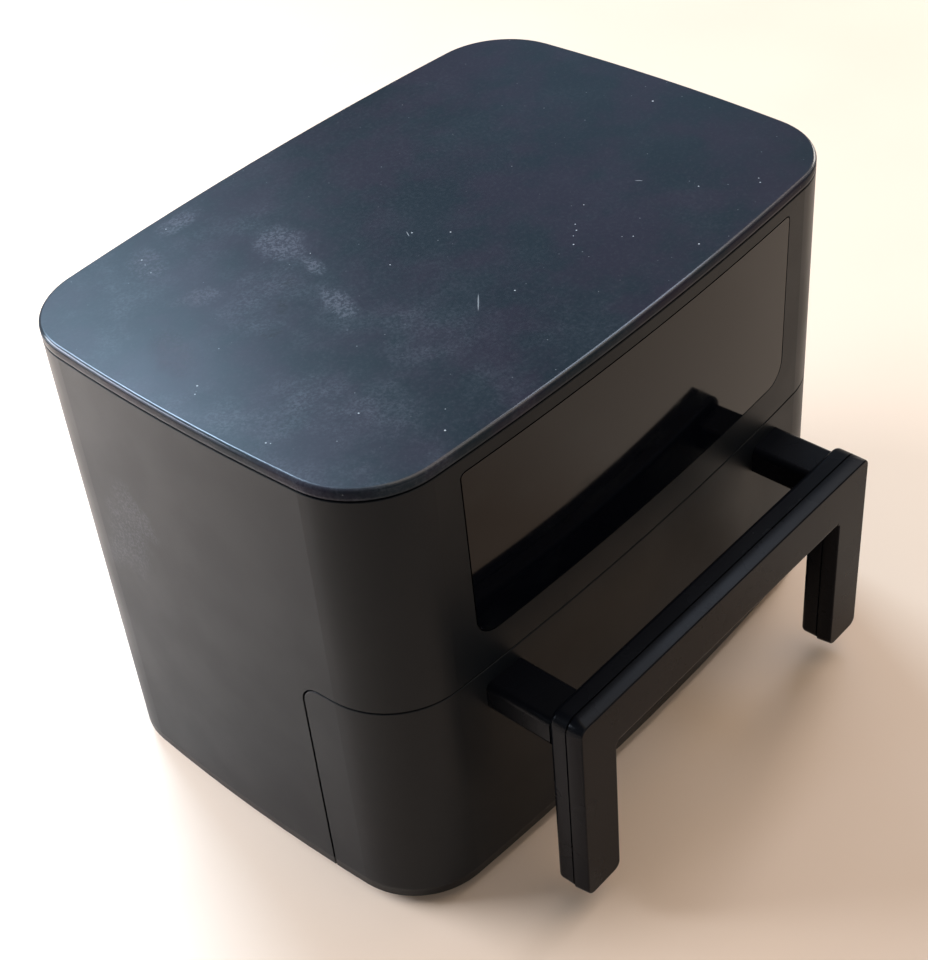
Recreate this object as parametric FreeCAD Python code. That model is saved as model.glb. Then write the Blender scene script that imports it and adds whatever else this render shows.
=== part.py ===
import FreeCAD, Part
import math
import os
from FreeCAD import Vector

# Wide single-drawer air fryer. Millimetres, +Z up, front facing -Y.
# Heights are measured from the surface it stands on, and plan sizes from the middle of the body.

# Body
BODY_WIDTH = 380.0
BODY_DEPTH = 263.0
BODY_HEIGHT = 293.0
SIDE_BOW = 6.0
FRONT_BOW = 8.5
CORNER_RADIUS = 46.0
WALL = 2.5
SHELL_EDGE_RADIUS = 0.5
FIT_GAP = 0.2
FOOT_HEIGHT = 6.0
FOOT_RADIUS = 11.0
FOOT_X = 135.0
FOOT_Y = 85.0
FOOT_TAPER = 1.5
FOOT_RECESS_RADIUS = 5.0
FOOT_RECESS_DEPTH = 2.5
FOOT_SCREW_RADIUS = 1.5
FOOT_SCREW_HEAD = 3.5
FOOT_SCREW_HEAD_HEIGHT = 1.8
BASE_FLANGE = 2.0
BASE_THICK = 4.5
BASE_INSET = 0.8
BASE_SEAM_GAP = 0.5
PAD_INSET = 40.0
PAD_HALF = 10.0
LINER_PAD = 1.5

# Top plate
TOP_THICK = 6.0
TOP_EDGE_RADIUS = 2.0
SHADOW_GAP = 1.2
SHADOW_DEPTH = 2.2
LIP_DEPTH = 7.0
LIP_WIDTH = 2.5

# Control panel, an outline seen from the front
PANEL_HALF_TOP = 130.0
PANEL_HALF_BOTTOM = 128.5
PANEL_TOP_Z = 278.5
PANEL_BOTTOM_Z = 172.0
PANEL_TOP_RADIUS = 3.5
PANEL_BOTTOM_RADIUS = 14.0
PANEL_GAP = 0.8

# Behind the control panel
BACKING_THICK = 2.0
BACKING_GROW = 5.0
BOARD_Y = -112.0
BOARD_HALF = 105.0
BOARD_BOTTOM_Z = 190.0
BOARD_TOP_Z = 262.0
BOARD_THICK = 1.6
BOARD_POST = 4.0
DISPLAY_HALF = 32.0
DISPLAY_HEIGHT = 22.0
BOARD_POST_INSET = 8.0
DISPLAY_Z = 226.0
DISPLAY_PLAY = 1.0
DISPLAY_GAP = 0.3

# Back of the body
REAR_HALF = 120.0
REAR_BOTTOM_Z = 178.0
REAR_TOP_Z = 262.0
REAR_RADIUS = 10.0
REAR_GAP = 0.3
REAR_FLANGE = 6.0
REAR_SLOTS = 7
REAR_SLOT_HEIGHT = 4.0
REAR_SLOT_PITCH = 9.0
REAR_SLOT_INNER = 14.0
REAR_SLOT_OUTER = 100.0
REAR_SLOT_RADIUS = 1.5
REAR_FLANGE_THICK = 2.0
GLAND_X = -95.0
GLAND_Z = 46.0
GLAND_RADIUS = 7.0
GLAND_FLANGE = 3.0
GLAND_BORE = 3.5
GLAND_LENGTH = 14.0
GLAND_FLAT = 0.2

# Drawer
PARTING_Z = 151.3
PARTING_GAP = 1.0
SEAM_Y = -60.5
SEAM_CORNER = 13.0
DRAWER_WALL = 3.0
DRAWER_BOTTOM_Z = 7.0
DRAWER_EDGE_RADIUS = 0.6
INNER_FRONT_Y = -119.0
INNER_FRONT_THICK = 3.0
PAN_HALF = 150.0
PAN_BACK_Y = 100.0
PAN_BOTTOM_Z = 17.0
PAN_TOP_Z = 142.5
PAN_WALL = 1.2
PAN_CORNER = 16.0
PAN_FLOOR_RADIUS = 10.0
PAN_RIM = 4.5
RUN_GAP = 0.3
SENSE_X = 60.0

# Crisper plate
CRISPER_Z = 34.0
CRISPER_GAP = 5.0
CRISPER_THICK = 1.5
SLOT_LENGTH = 24.0
SLOT_WIDTH = 5.0
SLOT_COLUMNS = 8
SLOT_ROWS = 10
SLOT_PITCH_X = 33.0
SLOT_PITCH_Y = 17.5
CRISPER_FOOT_X_INSET = 24.0
CRISPER_FOOT_Y_INSET = 10.0
CRISPER_FOOT_RADIUS = 7.0
CRISPER_FOOT_TIP = 5.0
BUMPER_X = 70.0
BUMPER_HALF = 9.0
BUMPER_LAP = 4.0
BUMPER_HEIGHT = 2.5

# Handle
HANDLE_REACH = 56.0
HANDLE_DEPTH = 20.0
HANDLE_HALF = 127.5
HANDLE_TOP_Z = 146.5
HANDLE_BAR = 33.0
LEG_WIDTH = 28.5
LEG_BOTTOM_Z = 17.8
HANDLE_CORNER = 8.0
HANDLE_INNER_CORNER = 2.0
LEG_CORNER = 5.0
COVER_DEPTH = 9.5
COVER_DRAFT = 1.3
COVER_EDGE = 0.9
COVER_UNDER_EDGE = 3.5
GROOVE_WIDTH = 0.9
GROOVE_DEPTH = 1.2
REAR_SHELL_EDGE = 3.0
REAR_SHELL_RISE = 1.2
REAR_SHELL_TOE = 7.5
ARM_WIDTH = 27.0
ARM_HEIGHT = 18.0
ARM_TOP_Z = 140.0
ARM_RADIUS = 4.0
HANDLE_SCREW_RADIUS = 2.0
HANDLE_SCREW_HEAD = 4.0
HANDLE_SCREW_REACH = 14.0
HANDLE_SCREW_APART = 13.0
HANDLE_SCREW_SINK = 2.0

# Cooking chamber and what heats it
FRAME_INSET = 6.0
FRAME_WALL = 2.5
FRAME_Y = -108.0
FRAME_THICK = 3.0
LINER_HALF = 157.0
LINER_BACK_Y = 108.0
LINER_TOP_Z = 172.0
SHEET = 1.0
REFLECTOR_HALF_X = 146.0
REFLECTOR_HALF_Y = 72.0
REFLECTOR_HEIGHT = 39.0
REFLECTOR_FLANGE = 7.0
FAN_X = 76.0
FAN_RADIUS = 50.0
FAN_BLADES = 9
COOLING_RADIUS = 44.0
COOLING_BLADES = 7
SHAFT_RADIUS = 3.0
SHAFT_FIT = 0.05
HEATER_TUBE = 3.25
HEATER_OUTER = 56.0
HEATER_INNER = 40.0
HEATER_RISE_Y = 60.0
HEATER_TURN_X = 22.0
BUSH_RADIUS = 5.0
MOTOR_RADIUS = 31.0
MOTOR_HEIGHT = 21.0
HUB_RADIUS = 9.0
BLADE_SWEEP = 0.7
RAIL_HEIGHT = 6.0
SENSOR_RADIUS = 2.5
SENSOR_Y = 40.0
HEATER_BEND = 7.0
MOTOR_SCREW_RADIUS = 1.5
MOTOR_SCREW_CIRCLE = 22.0
BRACKET_HALF_X = 138.0
BRACKET_HALF_Y = 30.0
DUCT_HALF = 60.0
DUCT_BOTTOM_Z = 184.0
DUCT_TOP_Z = 208.0
DUCT_WALL = 1.5
POWER_HALF = 70.0
DUCT_POST_HEIGHT = 8.0

# Levels worked out from the sizes above
SHELL_BOTTOM_Z = FOOT_HEIGHT + BASE_FLANGE
TOP_UNDER_Z = BODY_HEIGHT - TOP_THICK
SHELL_TOP_Z = TOP_UNDER_Z - SHADOW_GAP
BASE_TOP_Z = FOOT_HEIGHT + BASE_THICK
LINER_BOTTOM_Z = BASE_TOP_Z + LINER_PAD
HALF_DEPTH = BODY_DEPTH / 2
HANDLE_FRONT_Y = -HALF_DEPTH - HANDLE_REACH
HANDLE_BACK_Y = HANDLE_FRONT_Y + HANDLE_DEPTH
COVER_Y = HANDLE_FRONT_Y + COVER_DEPTH
LEG_CENTRE = HANDLE_HALF - LEG_WIDTH / 2
PAN_FRONT_Y = INNER_FRONT_Y + INNER_FRONT_THICK
GUARD_Z = LINER_TOP_Z
REFLECTOR_Z = GUARD_Z + SHEET
REFLECTOR_TOP_Z = REFLECTOR_Z + REFLECTOR_HEIGHT
HEATER_Z = REFLECTOR_Z + 8.0
FAN_Z = HEATER_Z + HEATER_TUBE + 3.0
FAN_HEIGHT = 16.0
COOLING_Z = REFLECTOR_TOP_Z + 6.0
COOLING_HEIGHT = 10.0
BRACKET_Z = COOLING_Z + COOLING_HEIGHT + 8.0
BRACKET_THICK = 1.5
MOTOR_Z = BRACKET_Z + BRACKET_THICK
ORIGIN_SHIFT = Vector(0, HANDLE_REACH / 2, 0)
FAR = 400.0


def save(name, shape):
    """Move a finished piece into the part's frame and write it under its node name."""
    moved = shape.copy()
    moved.translate(ORIGIN_SHIFT)
    moved.exportStep("parts/%s.step" % name)


def box(x0, x1, y0, y1, z0, z1):
    return Part.makeBox(x1 - x0, y1 - y0, z1 - z0, Vector(x0, y0, z0))


def post(radius, x, y, z0, z1):
    return Part.makeCylinder(radius, z1 - z0, Vector(x, y, z0))


def rod_along_y(radius, x, z, y0, y1):
    return Part.makeCylinder(radius, y1 - y0, Vector(x, y0, z), Vector(0, 1, 0))


def edges_where(shape, test):
    return [edge for edge in shape.Edges if test(edge.BoundBox)]


def fuse_all(shapes):
    joined = shapes[0].multiFuse(shapes[1:]) if len(shapes) > 1 else shapes[0]
    return joined.removeSplitter()


def bow_radius(half_chord, bow):
    """Radius of an arc that swells by a bow over a chord."""
    return (half_chord ** 2 + bow ** 2) / (2 * bow)


def corner_centre(front_centre, front_reach, side_centre, side_reach):
    """Middle of the front right corner's arc, at set distances from the middles of both bowed sides."""
    apart = side_centre - front_centre
    along = (front_reach ** 2 - side_reach ** 2 + apart.Length ** 2) / (2 * apart.Length)
    across = math.sqrt(front_reach ** 2 - along ** 2)
    apart.normalize()
    square = Vector(apart.y, -apart.x)
    foot = front_centre + apart * along
    return max(foot + square * across, foot - square * across, key=lambda point: point.x)


def toward(start, target, distance):
    """The point at a distance from a start, on the line through a target."""
    direction = target - start
    direction.normalize()
    return start + direction * distance


def plan_face(inset):
    """Body outline from above, drawn in by an inset: four bowed sides and four corners, all tangent arcs."""
    front_arc = bow_radius(BODY_WIDTH / 2 - SIDE_BOW, FRONT_BOW)
    side_arc = bow_radius(HALF_DEPTH - FRONT_BOW, SIDE_BOW)
    front_centre = Vector(0, front_arc - HALF_DEPTH)
    side_centre = Vector(BODY_WIDTH / 2 - side_arc, 0)
    corner = corner_centre(front_centre, front_arc - CORNER_RADIUS, side_centre, side_arc - CORNER_RADIUS)
    front_end = toward(front_centre, corner, front_arc - inset)
    side_end = toward(side_centre, corner, side_arc - inset)
    bend = toward(corner, (front_end + side_end) / 2, CORNER_RADIUS - inset)
    front_side = [(-front_end.x, front_end.y), (0, inset - HALF_DEPTH), (front_end.x, front_end.y)]
    front_corner = [(front_end.x, front_end.y), (bend.x, bend.y), (side_end.x, side_end.y)]
    right_side = [(side_end.x, side_end.y), (BODY_WIDTH / 2 - inset, 0), (side_end.x, -side_end.y)]
    back_corner = [(side_end.x, -side_end.y), (bend.x, -bend.y), (front_end.x, -front_end.y)]
    edges = []
    for turned in (1, -1):
        for points in (front_side, front_corner, right_side, back_corner):
            edges.append(Part.Arc(*[Vector(turned * x, turned * y) for x, y in points]).toShape())
    return Part.Face(Part.Wire(edges))


def prism(inset, z0, z1):
    """The body's plan, drawn in by an inset, as an upright solid between two heights."""
    face = plan_face(inset)
    face.translate(Vector(0, 0, z0))
    return face.extrude(Vector(0, 0, z1 - z0))


def sleeve(outer_inset, inner_inset, z0, z1):
    return prism(outer_inset, z0, z1).cut(prism(inner_inset, z0 - 1, z1 + 1))


def rounded_outline(points, radii):
    """A closed face in the XZ plane through corner points, each corner rounded by its own radius."""
    count = len(points)
    starts = []
    ends = []
    bends = []
    for i in range(count):
        before = points[i - 1] - points[i]
        after = points[(i + 1) % count] - points[i]
        before.normalize()
        after.normalize()
        half_turn = before.getAngle(after) / 2
        run = radii[i] / math.tan(half_turn)
        inward = before + after
        inward.normalize()
        middle = points[i] + inward * (radii[i] / math.sin(half_turn) - radii[i])
        starts.append(points[i] + before * run)
        ends.append(points[i] + after * run)
        bends.append(middle)
    edges = []
    for i in range(count):
        edges.append(Part.Arc(starts[i], bends[i], ends[i]).toShape())
        edges.append(Part.LineSegment(ends[i], starts[(i + 1) % count]).toShape())
    return Part.Face(Part.Wire(edges))


def front_outline(corners, radii, y0, y1):
    """A rounded outline seen from the front, extruded from y0 back to y1."""
    face = rounded_outline([Vector(x, 0, z) for x, z in corners], radii)
    face.translate(Vector(0, y0, 0))
    return face.extrude(Vector(0, y1 - y0, 0))


def rounded_box(x0, x1, y0, y1, z0, z1, radius):
    """A box whose upright edges are rounded."""
    block = box(x0, x1, y0, y1, z0, z1)
    return block.makeFillet(radius, edges_where(block, lambda b: b.ZLength > (z1 - z0) - 0.01))


def drawer_zone(gap):
    """What the drawer front takes out of the body: all in front of the seam and below the parting line."""
    top = PARTING_Z - gap
    back = SEAM_Y - gap
    zone = box(-FAR, FAR, -FAR, back, -FAR, top)
    corner = edges_where(zone, lambda b: b.XLength > FAR and abs(b.YMax - back) < 0.01 and b.ZMin > 0)
    return zone.makeFillet(SEAM_CORNER - gap, corner)


def panel_block(gap, y0, y1):
    top = PANEL_TOP_Z - gap
    bottom = PANEL_BOTTOM_Z + gap
    half_top = PANEL_HALF_TOP - gap
    half_bottom = PANEL_HALF_BOTTOM - gap
    corners = [(-half_top, top), (half_top, top), (half_bottom, bottom), (-half_bottom, bottom)]
    radii = [PANEL_TOP_RADIUS - gap, PANEL_TOP_RADIUS - gap,
             PANEL_BOTTOM_RADIUS - gap, PANEL_BOTTOM_RADIUS - gap]
    return front_outline(corners, radii, y0, y1)


def rear_block(grow, y0, y1):
    corners = [(-REAR_HALF - grow, REAR_TOP_Z + grow), (REAR_HALF + grow, REAR_TOP_Z + grow),
               (REAR_HALF + grow, REAR_BOTTOM_Z - grow), (-REAR_HALF - grow, REAR_BOTTOM_Z - grow)]
    return front_outline(corners, [REAR_RADIUS + grow] * 4, y0, y1)


def outer_shell():
    sleeve_block = prism(0, SHELL_BOTTOM_Z, SHELL_TOP_Z)
    top_edges = edges_where(sleeve_block, lambda b: b.ZMin > SHELL_TOP_Z - 0.01)
    shell = sleeve_block.makeFillet(SHELL_EDGE_RADIUS, top_edges).cut(prism(WALL, 0, BODY_HEIGHT))
    shell = shell.cut(drawer_zone(0))
    shell = shell.cut(panel_block(0, -FAR, 0))
    shell = shell.cut(rear_block(0, 0, FAR))
    return shell.cut(rod_along_y(GLAND_RADIUS, GLAND_X, GLAND_Z, 0, FAR))


def top_plate():
    slab = prism(0, TOP_UNDER_Z, BODY_HEIGHT)
    top_edges = edges_where(slab, lambda b: b.ZMin > BODY_HEIGHT - 0.01)
    slab = slab.makeFillet(TOP_EDGE_RADIUS, top_edges)
    rim = sleeve(SHADOW_DEPTH, WALL + LIP_WIDTH, SHELL_TOP_Z, TOP_UNDER_Z)
    lip = sleeve(WALL + FIT_GAP, WALL + LIP_WIDTH, SHELL_TOP_Z - LIP_DEPTH, SHELL_TOP_Z)
    return fuse_all([slab, rim, lip])


def control_panel():
    return sleeve(0, WALL, PANEL_BOTTOM_Z - 1, PANEL_TOP_Z + 1).common(panel_block(PANEL_GAP, -FAR, 0))


def panel_backing():
    """Light box behind the panel: a frame that laps the shell, with posts for the board."""
    outline = panel_block(-BACKING_GROW, -FAR, 0)
    height = prism(WALL, PANEL_BOTTOM_Z - BACKING_GROW, SHELL_TOP_Z - LIP_DEPTH - 1)
    sheet = height.cut(prism(WALL + BACKING_THICK, 0, BODY_HEIGHT)).common(outline)
    window = box(-DISPLAY_HALF, DISPLAY_HALF, -FAR, 0,
                 DISPLAY_Z - DISPLAY_HEIGHT / 2, DISPLAY_Z + DISPLAY_HEIGHT / 2)
    sheet = sheet.cut(window)
    core = prism(WALL + 0.5, PANEL_BOTTOM_Z, PANEL_TOP_Z)
    posts = []
    for x in (-BOARD_HALF + BOARD_POST_INSET, BOARD_HALF - BOARD_POST_INSET):
        for z in (BOARD_BOTTOM_Z + BOARD_POST_INSET, BOARD_TOP_Z - BOARD_POST_INSET):
            posts.append(rod_along_y(BOARD_POST, x, z, -FAR, BOARD_Y).common(core))
    return fuse_all([sheet] + posts)


def control_board():
    return box(-BOARD_HALF, BOARD_HALF, BOARD_Y, BOARD_Y + BOARD_THICK, BOARD_BOTTOM_Z, BOARD_TOP_Z)


def display_module():
    """Number display on the board, standing up to the back of the panel."""
    reach = prism(WALL + DISPLAY_GAP, 0, BODY_HEIGHT)
    half_width = DISPLAY_HALF - DISPLAY_PLAY
    half_height = DISPLAY_HEIGHT / 2 - DISPLAY_PLAY
    block = box(-half_width, half_width, -FAR, BOARD_Y, DISPLAY_Z - half_height, DISPLAY_Z + half_height)
    return block.common(reach)


def base_plate():
    """Bottom tray: full width behind the seam, drawn in where the drawer front wraps round it."""
    behind = box(-FAR, FAR, SEAM_Y + BASE_SEAM_GAP, FAR, 0, BODY_HEIGHT)
    ahead = box(-FAR, FAR, FRAME_Y, SEAM_Y + BASE_SEAM_GAP, 0, BODY_HEIGHT)
    flange = prism(BASE_INSET, FOOT_HEIGHT, SHELL_BOTTOM_Z).common(behind)
    raised = prism(WALL + FIT_GAP, SHELL_BOTTOM_Z, BASE_TOP_Z).common(behind)
    tongue = prism(FRAME_INSET, FOOT_HEIGHT, BASE_TOP_Z).common(ahead)
    pads = []
    for x in (-LINER_HALF + PAD_INSET, LINER_HALF - PAD_INSET):
        pads.append(box(x - PAD_HALF, x + PAD_HALF, FRAME_Y + 15, LINER_BACK_Y - 10,
                        BASE_TOP_Z, LINER_BOTTOM_Z))
    plate = fuse_all([flange, raised, tongue] + pads)
    for x, y in foot_places():
        plate = plate.cut(post(FOOT_SCREW_RADIUS, x, y, 0, BASE_TOP_Z - 1))
    return plate


def foot_places():
    return [(x, y) for x in (-FOOT_X, FOOT_X) for y in (-FOOT_Y, FOOT_Y)]


def rubber_feet():
    feet = []
    for x, y in foot_places():
        foot = Part.makeCone(FOOT_RADIUS - FOOT_TAPER, FOOT_RADIUS, FOOT_HEIGHT, Vector(x, y, 0))
        foot = foot.cut(post(FOOT_RECESS_RADIUS, x, y, -1, FOOT_RECESS_DEPTH))
        feet.append(foot.cut(post(FOOT_SCREW_RADIUS, x, y, -1, FOOT_HEIGHT + 1)))
    return Part.makeCompound(feet)


def foot_screws():
    screws = []
    for x, y in foot_places():
        head = post(FOOT_SCREW_HEAD, x, y, FOOT_RECESS_DEPTH - FOOT_SCREW_HEAD_HEIGHT, FOOT_RECESS_DEPTH)
        screws.append(head.fuse(post(FOOT_SCREW_RADIUS, x, y, FOOT_RECESS_DEPTH, BASE_TOP_Z - 1)))
    return Part.makeCompound(screws)


def rear_cover():
    """Air outlet at the back: a flush louvred cover with a flange that laps the shell inside."""
    skin = sleeve(0, WALL, REAR_BOTTOM_Z - 1, REAR_TOP_Z + 1).common(rear_block(-REAR_GAP, 0, FAR))
    flange = sleeve(WALL, WALL + REAR_FLANGE_THICK,
                    REAR_BOTTOM_Z - REAR_FLANGE - 1, REAR_TOP_Z + REAR_FLANGE + 1)
    cover = skin.fuse(flange.common(rear_block(REAR_FLANGE, 0, FAR)))
    slots = []
    middle = (REAR_BOTTOM_Z + REAR_TOP_Z) / 2
    for row in range(REAR_SLOTS):
        z = middle + (row - (REAR_SLOTS - 1) / 2) * REAR_SLOT_PITCH
        for side in (-1, 1):
            ends = sorted((side * REAR_SLOT_INNER, side * REAR_SLOT_OUTER))
            corners = [(ends[0], z + REAR_SLOT_HEIGHT / 2), (ends[1], z + REAR_SLOT_HEIGHT / 2),
                       (ends[1], z - REAR_SLOT_HEIGHT / 2), (ends[0], z - REAR_SLOT_HEIGHT / 2)]
            slots.append(front_outline(corners, [REAR_SLOT_RADIUS] * 4, 0, FAR))
    return cover.removeSplitter().cut(Part.makeCompound(slots))


def cord_gland():
    """Bare bush where the mains lead would leave the back."""
    back_y = HALF_DEPTH
    inner_end = back_y - GLAND_LENGTH
    outer_end = back_y - GLAND_FLAT
    barrel = rod_along_y(GLAND_RADIUS, GLAND_X, GLAND_Z, inner_end, outer_end)
    disc = rod_along_y(GLAND_RADIUS + GLAND_FLANGE, GLAND_X, GLAND_Z, inner_end, outer_end)
    outside = disc.cut(prism(0, 0, BODY_HEIGHT))
    nut = disc.common(prism(WALL, 0, BODY_HEIGHT))
    bore = rod_along_y(GLAND_BORE, GLAND_X, GLAND_Z, 0, FAR)
    return fuse_all([barrel, nut, outside]).cut(bore)


def front_frame():
    """Inner housing that the drawer front closes over, with the mouth of the cooking chamber."""
    block = prism(WALL, BASE_TOP_Z, PARTING_Z + 3).common(box(-FAR, FAR, -FAR, SEAM_Y + 7, 0, BODY_HEIGHT))
    swept = prism(-5, 0, PARTING_Z).cut(prism(FRAME_INSET, -1, BODY_HEIGHT)).common(drawer_zone(0))
    ahead = box(-FAR, FAR, -FAR, FRAME_Y, 0, PARTING_Z)
    hollow = prism(FRAME_INSET + FRAME_WALL, 0, PARTING_Z).common(
        box(-FAR, FAR, FRAME_Y + FRAME_THICK, FAR, 0, PARTING_Z))
    mouth = box(-LINER_HALF + SHEET, LINER_HALF - SHEET, -FAR, 0, BASE_TOP_Z + 3, PARTING_Z - 3.5)
    roof = box(-LINER_HALF, LINER_HALF, FRAME_Y + FRAME_THICK, FAR, PARTING_Z - 1, PARTING_Z + 9)
    return block.cut(swept).cut(ahead).cut(hollow).cut(mouth).cut(roof)


def cavity_liner():
    """Sheet metal cooking chamber, open at the front, with a wide opening in its roof."""
    front_y = FRAME_Y + FRAME_THICK
    outside = box(-LINER_HALF, LINER_HALF, front_y, LINER_BACK_Y, LINER_BOTTOM_Z, LINER_TOP_Z)
    inside = box(-LINER_HALF + SHEET, LINER_HALF - SHEET, front_y - 1, LINER_BACK_Y - SHEET,
                 LINER_BOTTOM_Z + SHEET, LINER_TOP_Z - SHEET)
    back_edges = edges_where(inside, lambda b: b.YMin > LINER_BACK_Y - 2 * SHEET)
    inside = inside.makeFillet(8, back_edges)
    back_edges = edges_where(outside, lambda b: b.YMin > LINER_BACK_Y - 0.01)
    outside = outside.makeFillet(8 + SHEET, back_edges)
    roof = rounded_box(-REFLECTOR_HALF_X + SHEET, REFLECTOR_HALF_X - SHEET, -REFLECTOR_HALF_Y + SHEET,
                       REFLECTOR_HALF_Y - SHEET, LINER_TOP_Z - 5, LINER_TOP_Z + 5, 15)
    return outside.cut(inside).cut(roof)


def drawer_rail(side):
    """Rail on the chamber wall that the pan's rim runs along."""
    wall_x = LINER_HALF - SHEET
    ends = sorted((side * (PAN_HALF + 1.5), side * wall_x))
    top = PAN_TOP_Z - PAN_WALL - RUN_GAP
    return box(ends[0], ends[1], FRAME_Y + FRAME_THICK, LINER_BACK_Y - 12, top - RAIL_HEIGHT, top)


def guard_outline(grow, z0, z1):
    return rounded_box(-REFLECTOR_HALF_X - grow, REFLECTOR_HALF_X + grow,
                       -REFLECTOR_HALF_Y - grow, REFLECTOR_HALF_Y + grow, z0, z1, 16 + grow)


def heater_guard():
    """Flat grille under each element: concentric ring slots crossed by spokes."""
    plate = guard_outline(REFLECTOR_FLANGE, GUARD_Z, GUARD_Z + SHEET)
    rings = []
    for x in (-FAN_X, FAN_X):
        for radius in (14, 26, 38, 50):
            ring = post(radius + 4, x, 0, GUARD_Z - 1, GUARD_Z + 3).cut(post(radius - 4, x, 0, GUARD_Z - 2,
                                                                               GUARD_Z + 4))
            for turn in range(3):
                spoke = box(-FAR, FAR, -1.5, 1.5, GUARD_Z - 2, GUARD_Z + 4)
                spoke.rotate(Vector(0, 0, 0), Vector(0, 0, 1), 60 * turn)
                spoke.translate(Vector(x, 0, 0))
                ring = ring.cut(spoke)
            rings.append(ring)
    return plate.cut(Part.makeCompound(rings))


def heater_ends(x):
    """Where the two ends of an element rise through the reflector."""
    return [(x - 18.0, HEATER_RISE_Y), (x + 4.0, HEATER_RISE_Y)]


def heat_reflector():
    """Inverted tray over the elements and fans, flanged onto the chamber roof."""
    flange = guard_outline(REFLECTOR_FLANGE, REFLECTOR_Z, REFLECTOR_Z + SHEET)
    tray = guard_outline(0, REFLECTOR_Z, REFLECTOR_TOP_Z)
    tray = tray.makeFillet(8, edges_where(tray, lambda b: b.ZMin > REFLECTOR_TOP_Z - 0.01))
    hollow = guard_outline(-SHEET, REFLECTOR_Z - 1, REFLECTOR_TOP_Z - SHEET)
    hollow = hollow.makeFillet(7, edges_where(hollow, lambda b: b.ZMin > REFLECTOR_TOP_Z - SHEET - 0.01))
    reflector = flange.fuse(tray).removeSplitter().cut(hollow)
    holes = [(0, SENSOR_Y, SENSOR_RADIUS)]
    for x in (-FAN_X, FAN_X):
        holes.append((x, 0, SHAFT_RADIUS + 4))
        holes += [(end_x, end_y, BUSH_RADIUS) for end_x, end_y in heater_ends(x)]
    for x, y, radius in holes:
        reflector = reflector.cut(post(radius, x, y, REFLECTOR_TOP_Z - 5, REFLECTOR_TOP_Z + 5))
    return reflector


def tube(points, radius, tube_radius):
    """A round tube along straight runs, bent with one radius at every corner."""
    edges = []
    last = points[0]
    for i in range(1, len(points) - 1):
        before = points[i - 1] - points[i]
        after = points[i + 1] - points[i]
        before.normalize()
        after.normalize()
        half_turn = before.getAngle(after) / 2
        run = radius / math.tan(half_turn)
        inward = before + after
        inward.normalize()
        start = points[i] + before * run
        end = points[i] + after * run
        middle = points[i] + inward * (radius / math.sin(half_turn) - radius)
        edges.append(Part.LineSegment(last, start).toShape())
        edges.append(Part.Arc(start, middle, end).toShape())
        last = end
    edges.append(Part.LineSegment(last, points[-1]).toShape())
    path = Part.Wire(edges)
    direction = points[1] - points[0]
    circle = Part.Wire(Part.makeCircle(tube_radius, points[0], direction))
    return path.makePipeShell([circle], True, False)


def heating_element(x):
    """One tubular element: an outer loop that doubles back as an inner loop, with both ends turned up."""
    (first_x, rise_y), (last_x, rise_y) = heater_ends(x)
    out = HEATER_OUTER
    inn = HEATER_INNER
    turn_x = x + HEATER_TURN_X
    inner_y = rise_y - (out - inn)
    top = REFLECTOR_TOP_Z + 8
    flat = [(first_x, rise_y), (x - out, rise_y), (x - out, -out), (x + out, -out), (x + out, rise_y),
            (turn_x, rise_y), (turn_x, inner_y), (x + inn, inner_y), (x + inn, -inn), (x - inn, -inn),
            (x - inn, inner_y), (last_x, inner_y), (last_x, rise_y)]
    points = [Vector(first_x, rise_y, top)]
    points += [Vector(px, py, HEATER_Z) for px, py in flat]
    points += [Vector(last_x, rise_y, top)]
    return tube(points, HEATER_BEND, HEATER_TUBE)


def fan_blade(inner, outer, height, z0, sweep):
    """One curved upright blade, an arc in plan between two radii."""
    start = Vector(inner, 0, z0)
    end = Vector(outer * math.cos(sweep), outer * math.sin(sweep), z0)
    middle_radius = (inner + outer) / 2
    middle = Vector(middle_radius * math.cos(sweep * 0.25), middle_radius * math.sin(sweep * 0.25), z0)
    curve = Part.Arc(start, middle, end).toShape()
    sheet = curve.extrude(Vector(0, 0, height))
    return sheet.makeOffsetShape(SHEET, 0.01, fill=True)


def bladed_fan(x, radius, blades, z0, height, hub):
    """Back plate with a hub and a ring of curved blades."""
    plate = post(radius, x, 0, z0 + height - SHEET, z0 + height)
    core = post(hub, x, 0, z0, z0 + height)
    pieces = [plate, core]
    for i in range(blades):
        blade = fan_blade(hub - 1, radius - 2, height - SHEET / 2, z0, BLADE_SWEEP)
        blade.rotate(Vector(0, 0, 0), Vector(0, 0, 1), 360.0 * i / blades)
        blade.translate(Vector(x, 0, 0))
        pieces.append(blade)
    return fuse_all(pieces).cut(post(SHAFT_RADIUS, x, 0, z0 - 1, z0 + height + 1))


def hot_fan(x):
    return bladed_fan(x, FAN_RADIUS, FAN_BLADES, FAN_Z, FAN_HEIGHT, HUB_RADIUS)


def cooling_fan(x):
    return bladed_fan(x, COOLING_RADIUS, COOLING_BLADES, COOLING_Z, COOLING_HEIGHT, HUB_RADIUS)


def fan_shaft(x):
    return post(SHAFT_RADIUS, x, 0, FAN_Z - 2, MOTOR_Z + MOTOR_HEIGHT)


def motor_screw_places():
    places = []
    for x in (-FAN_X, FAN_X):
        for turn in range(4):
            angle = math.radians(45 + 90 * turn)
            places.append((x + MOTOR_SCREW_CIRCLE * math.cos(angle), MOTOR_SCREW_CIRCLE * math.sin(angle)))
    return places


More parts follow.
